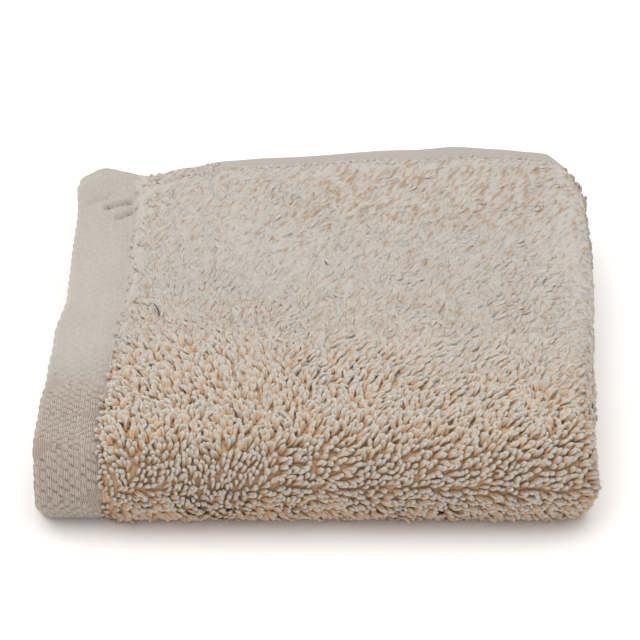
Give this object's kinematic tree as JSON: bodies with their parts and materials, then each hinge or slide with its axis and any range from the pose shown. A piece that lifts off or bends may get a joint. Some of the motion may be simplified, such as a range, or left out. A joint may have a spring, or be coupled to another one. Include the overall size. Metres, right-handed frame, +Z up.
{
  "type": "folded terry washcloth",
  "caption": "Square cotton terry washcloth with flat woven end borders, folded in quarters and laid flat, used for washing and drying.",
  "frame": {"origin": "centre of the underside of the folded stack, on the surface it lies on", "axes": "+X to the right along the front fold, away from the bordered ends; +Y to the back, away from the front fold; +Z up"},
  "size_m": [0.1608, 0.158, 0.0274],
  "materials": {
    "cotton_terry": "undyed beige cotton loops, matt, with flat woven borders"
  },
  "bodies": {
    "root": {"washcloth": "cotton_terry"}
  },
  "joints": []
}
